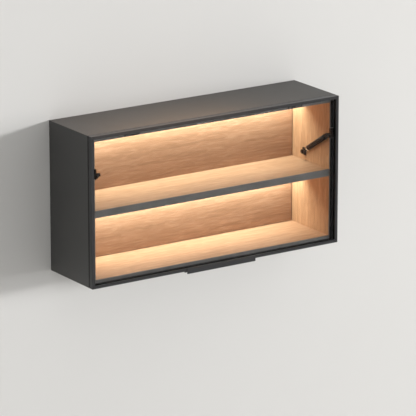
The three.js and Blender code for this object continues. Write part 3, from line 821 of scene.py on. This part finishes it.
def cap_rings(far, radius):
    """The soft cap around the tube's far end."""
    outside, inside = radius + TUBE_CAP["thickness"], radius + CLEAR
    cap_end = far - TUBE_CAP["from_end"]
    cap_start = cap_end - TUBE_CAP["length"]
    lip = TUBE_CAP["lip"]
    return [
        (cap_start, inside),
        (cap_start, outside - lip),
        (cap_start + lip, outside),
        (cap_end - lip, outside),
        (cap_end, outside - lip),
        (cap_end, inside),
    ]


def add_strut_details(hand, sign):
    """The pressure tube in place of the plain CAD cylinder, its ferrule and its cap, and the screws."""
    start = Vector(JOINTS[f"{hand}_strut_swing"]["pos_m"])
    axis = Vector(JOINTS[f"{hand}_strut_stroke"]["axis"]).normalized()
    near, far, radius = reach_along(f"{hand}_strut_cylinder", start, axis)
    body = f"{hand}_tube"
    along_axis = (turned, start, axis)
    rings = tube_rings(near, far, radius)
    tube = new_piece(f"{hand}_strut_tube", body, "black_steel", *along_axis, rings, TUBE_SIDES)
    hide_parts(f"{hand}_strut_cylinder")
    rings = ferrule_rings(near, radius)
    new_piece(f"{hand}_strut_ferrule", body, "chrome_rod", *along_axis, rings, RING_SIDES, True)
    rings = cap_rings(far, radius)
    new_piece(f"{hand}_strut_cap", body, "seal_rubber", *along_axis, rings, RING_SIDES, True)
    add_bracket_screws(hand, sign, start)


BRACKET_SCREWS = {
    "behind_pivot": 10 * MM,
    "heights": (-10 * MM, 8 * MM),
    "radius": 3.4 * MM,
    "head": 1.6 * MM,
}
BRACKET_PLATE = 2.5 * MM


def add_bracket_screws(hand, sign, pivot):
    bracket_low, bracket_high = span(f"{hand}_strut_case_bracket")
    plate_back = bracket_high.x if sign > 0 else bracket_low.x
    x = plate_back - sign * BRACKET_PLATE
    y = pivot.y + BRACKET_SCREWS["behind_pivot"]
    spots = [(x, y, pivot.z + height) for height in BRACKET_SCREWS["heights"]]
    head = (BRACKET_SCREWS["radius"], BRACKET_SCREWS["head"])
    new_piece(f"{hand}_bracket_screws", "case", "black_steel", pan_heads, spots, (-sign, 0, 0), *head)


HANGER_SCREW = {"radius": 3.0 * MM, "head": 2.0 * MM, "plate": 2.8 * MM, "above_foot": 7 * MM}
DRIVER_LID = {"margin": 4 * MM, "rise": 0.8 * MM, "corner": 5 * MM}
LID_SIDE = 0.6  # share of the lid's rise below its softened edge
LID_SOFTENING = 0.5  # how far the softened edge steps in, as a share of the rise
LID_CORNER_STEPS = 4
DRIVER_SCREW = {"radius": 2.6 * MM, "head": 1.2 * MM, "from_end": 9 * MM}


def add_back_fixings():
    """What shows from behind: the hangers' screws, and the LED driver's lid with its screws."""
    head = (HANGER_SCREW["radius"], HANGER_SCREW["head"])
    for hand, sign in HANDS:
        low, high = span(f"{hand}_hanger")
        x = (high.x if sign > 0 else low.x) - sign * HANGER_SCREW["plate"]
        spot = (x, (low.y + high.y) / 2, low.z + HANGER_SCREW["above_foot"])
        new_piece(f"{hand}_hanger_screw", "case", "zinc_steel", pan_heads, [spot], (-sign, 0, 0), *head)
    low, high = span("led_driver")
    new_piece("led_driver_lid", "case", "driver_case", driver_lid, low, high)
    y = high.y + CLEAR + DRIVER_LID["rise"]
    z = (low.z + high.z) / 2
    spots = [(x, y, z) for x in (low.x + DRIVER_SCREW["from_end"], high.x - DRIVER_SCREW["from_end"])]
    head = (DRIVER_SCREW["radius"], DRIVER_SCREW["head"])
    new_piece("led_driver_screws", "case", "zinc_steel", pan_heads, spots, (0, 1, 0), *head)


def driver_lid(shape, low, high):
    """A thin lid with round corners and a softened edge on the driver's back face."""
    margin, rise, corner = DRIVER_LID["margin"], DRIVER_LID["rise"], DRIVER_LID["corner"]
    foot = high.y + CLEAR
    centre_x, centre_z = (low.x + high.x) / 2, (low.z + high.z) / 2
    half_x = (high.x - low.x) / 2 - margin
    half_z = (high.z - low.z) / 2 - margin
    loops = []
    for height, inset in ((0, 0), (LID_SIDE * rise, 0), (rise, LID_SOFTENING * rise)):
        reach = corner - inset
        loop = []
        for quarter, (way_x, way_z) in enumerate(((1, 1), (-1, 1), (-1, -1), (1, -1))):
            for step in range(LID_CORNER_STEPS + 1):
                angle = (quarter + step / LID_CORNER_STEPS) * math.pi / 2
                x = centre_x + way_x * (half_x - corner) + reach * math.cos(angle)
                z = centre_z + way_z * (half_z - corner) + reach * math.sin(angle)
                loop.append(shape.verts.new((x, foot + height, z)))
        loops.append(loop)
    skin(shape, loops)


def add_pieces():
    add_dust_seals()
    add_bumpers()
    add_back_fixings()
    for hand, sign in HANDS:
        add_strut_details(hand, sign)


# ---------------------------------------------------------------- lights and stage

LED_POWER = 3.4
LED_SPREAD = math.radians(172)
LED_DROP = 2.5 * MM
LED_END = 2 * MM  # how far inside each end of its cover a line's light stops
LED_TILT = math.tan(math.radians(25))  # the lines lean towards the back panel


def area_light(name, location, target, size, power, colour=(1, 1, 1), spread=math.pi, mirrored=True):
    """An area light. If it isn't mirrored, glossy surfaces don't show it."""
    data = bpy.data.lights.new(name, "AREA")
    data.spread = spread
    data.shape = "RECTANGLE"
    data.size, data.size_y = size
    data.energy = power
    data.color = colour
    light = bpy.data.objects.new(name, data)
    light.location = location
    direction = Vector(target) - Vector(location)
    light.rotation_mode = "QUATERNION"
    light.rotation_quaternion = direction.to_track_quat("-Z", "Y")
    light.visible_camera = False
    light.visible_glossy = mirrored
    bpy.context.scene.collection.objects.link(light)
    return light


def led_light(bay):
    """The light of one LED line, thrown down and back from just under its cover."""
    low, high = span(f"{bay}_led_diffuser")
    place = Vector(((low.x + high.x) / 2, (low.y + high.y) / 2, low.z - LED_DROP))
    size = (high.x - low.x - 2 * LED_END, high.y - low.y)
    below = place + Vector((0, LED_TILT, -1))
    area_light(f"{bay}_led_light", place, below, size, LED_POWER, LED_COLOUR, LED_SPREAD)


STAGE_COLOUR = rgb(0.752, 0.744, 0.728)
STAGE_SHADE = rgb(0.6, 0.59, 0.57)
STAGE_UNEVENNESS = 0.06


def one_sided(name):
    """A matt pale surface that is clear from behind, so that it never hides the showcase."""
    look = Look(name)
    cloud = look.noise(look.place(), scale=2.0, detail=3.0)
    unevenness = look.between(cloud, low=0.3, high=0.7, new_high=STAGE_UNEVENNESS)
    matt = look.node("ShaderNodeBsdfDiffuse", {"Color": look.blend(unevenness, STAGE_COLOUR, STAGE_SHADE)})
    clear = look.node("ShaderNodeBsdfTransparent")
    side = look.node("ShaderNodeNewGeometry")
    look.choose(side.outputs["Backfacing"], matt, clear)
    return look.material


def stage_plane(name, corners, material, faces=((0, 1, 2, 3),)):
    mesh = bpy.data.meshes.new(name)
    mesh.from_pydata(corners, [], faces)
    mesh.materials.append(material)
    plane = bpy.data.objects.new(name, mesh)
    bpy.context.scene.collection.objects.link(plane)


STAGE_REACH = 9.0
FLOOR_DROP = 0.9
WALL_TOP = 4.0
WALL_AIR = 1 * MM
OPENING_INSET = 3 * MM


def corners_of(left, right, low, high, y):
    """An upright rectangle's corners."""
    return [(left, y, low), (right, y, low), (right, y, high), (left, y, high)]


def add_stage():
    """A floor, and a wall that is open behind the case, so that the back isn't black.

    Two strips of wall stay behind the open ends of the back panel, which show as dark gaps from the front.
    """
    reach = STAGE_REACH
    ground = CASE_LOW.z - FLOOR_DROP
    square = ((-reach, -reach), (reach, -reach), (reach, reach), (-reach, reach))
    pale = one_sided("pale_stage")
    stage_plane("floor", [(x, y, ground) for x, y in square], pale)
    wall_y = WALL_PLANE + WALL_AIR
    low, high = CASE_LOW.z + OPENING_INSET, CASE_HIGH.z - OPENING_INSET
    outline = corners_of(-reach, reach, ground, WALL_TOP, wall_y)
    opening = corners_of(CASE_LOW.x + OPENING_INSET, CASE_HIGH.x - OPENING_INSET, low, high, wall_y)
    sides = [(side, (side + 1) % 4, 4 + (side + 1) % 4, 4 + side) for side in range(4)]
    stage_plane("wall", outline + opening, pale, sides)
    panel_low, panel_high = span("back_panel")
    left_end = corners_of(span("left_liner")[0].x, panel_low.x, low, high, wall_y)
    right_end = corners_of(panel_high.x, span("right_liner")[1].x, low, high, wall_y)
    stage_plane("wall_behind_left_gap", left_end, pale)
    stage_plane("wall_behind_right_gap", right_end, pale)


SKY_COLOUR = rgb(1.0, 0.995, 0.98)
SKY_STRENGTH = 0.53

# Two lights far to the right share one bearing. The high one draws the shadow, the low one softens it.
KEY_BEARING = math.radians(52)
KEY_DISTANCE = 20.0
KEYS = {
    "high_key": {"rise": 2.5, "size": (11.0, 1.2), "power": 2400},
    "low_key": {"rise": -0.4, "size": (11.0, 3.6), "power": 900},
}
KEEPS_ITS_OWN_LIGHT = ("oak", "seal_rubber", "bare_aluminium", "opal_cover")
STRUT_PARTS = (
    "strut_case_bracket",
    "bracket_screws",
    "strut_cylinder",
    "strut_tube",
    "strut_cylinder_end",
    "strut_ferrule",
    "strut_rod",
    "strut_rod_end",
)

# A small warm lamp over the front left of the top, which gives the top alone its brown sheen.
TOP_LAMP = {"size": (0.55, 0.06), "power": 2.5, "colour": (1.0, 0.58, 0.30)}
TOP_LAMP_OFFSET = Vector((-0.17, -0.08, 0.22))
LIT_BY_TOP_LAMP = ("case_top_board", "flap_top_rail")


def flagged_collection():
    """What is inside, which the studio keys are flagged off, so that its own LED lines light it."""
    shaded = bpy.data.collections.new("flagged_off_the_keys")
    for name, slot in SLOT_OF.items():
        if slot in KEEPS_ITS_OWN_LIGHT or name.endswith(STRUT_PARTS):
            shaded.objects.link(NODES[name] if name in NODES else PIECES[name])
    for member in shaded.collection_objects:
        member.light_linking.link_state = "EXCLUDE"
    return shaded


def add_keys():
    reach = Vector((math.sin(KEY_BEARING), -math.cos(KEY_BEARING), 0)) * KEY_DISTANCE
    shaded = flagged_collection()
    for name, key in KEYS.items():
        place = CASE_CENTRE + reach + Vector((0, 0, key["rise"]))
        light = area_light(name, place, CASE_CENTRE, key["size"], key["power"], mirrored=False)
        light.light_linking.receiver_collection = shaded


def add_top_lamp():
    lit = bpy.data.collections.new("lit_by_the_top_lamp")
    for node in LIT_BY_TOP_LAMP:
        lit.objects.link(NODES[node])
    front_centre = Vector((CASE_CENTRE.x, span("case_top_board")[0].y, CASE_HIGH.z))
    place = front_centre + TOP_LAMP_OFFSET
    lamp = area_light("top_lamp", place, place - Vector((0, 0, 1)), **TOP_LAMP)
    lamp.light_linking.receiver_collection = lit


def add_lights():
    scene = bpy.context.scene
    world = bpy.data.worlds.new("studio")
    world.use_nodes = True
    background = world.node_tree.nodes["Background"]
    background.inputs["Color"].default_value = SKY_COLOUR
    background.inputs["Strength"].default_value = SKY_STRENGTH
    scene.world = world
    scene.view_settings.view_transform = "Standard"
    add_keys()
    add_top_lamp()
    led_light("upper")
    led_light("lower")


# ---------------------------------------------------------------- the scene

add_camera()
add_stage()
finish_cad_nodes()
add_pieces()
add_lights()
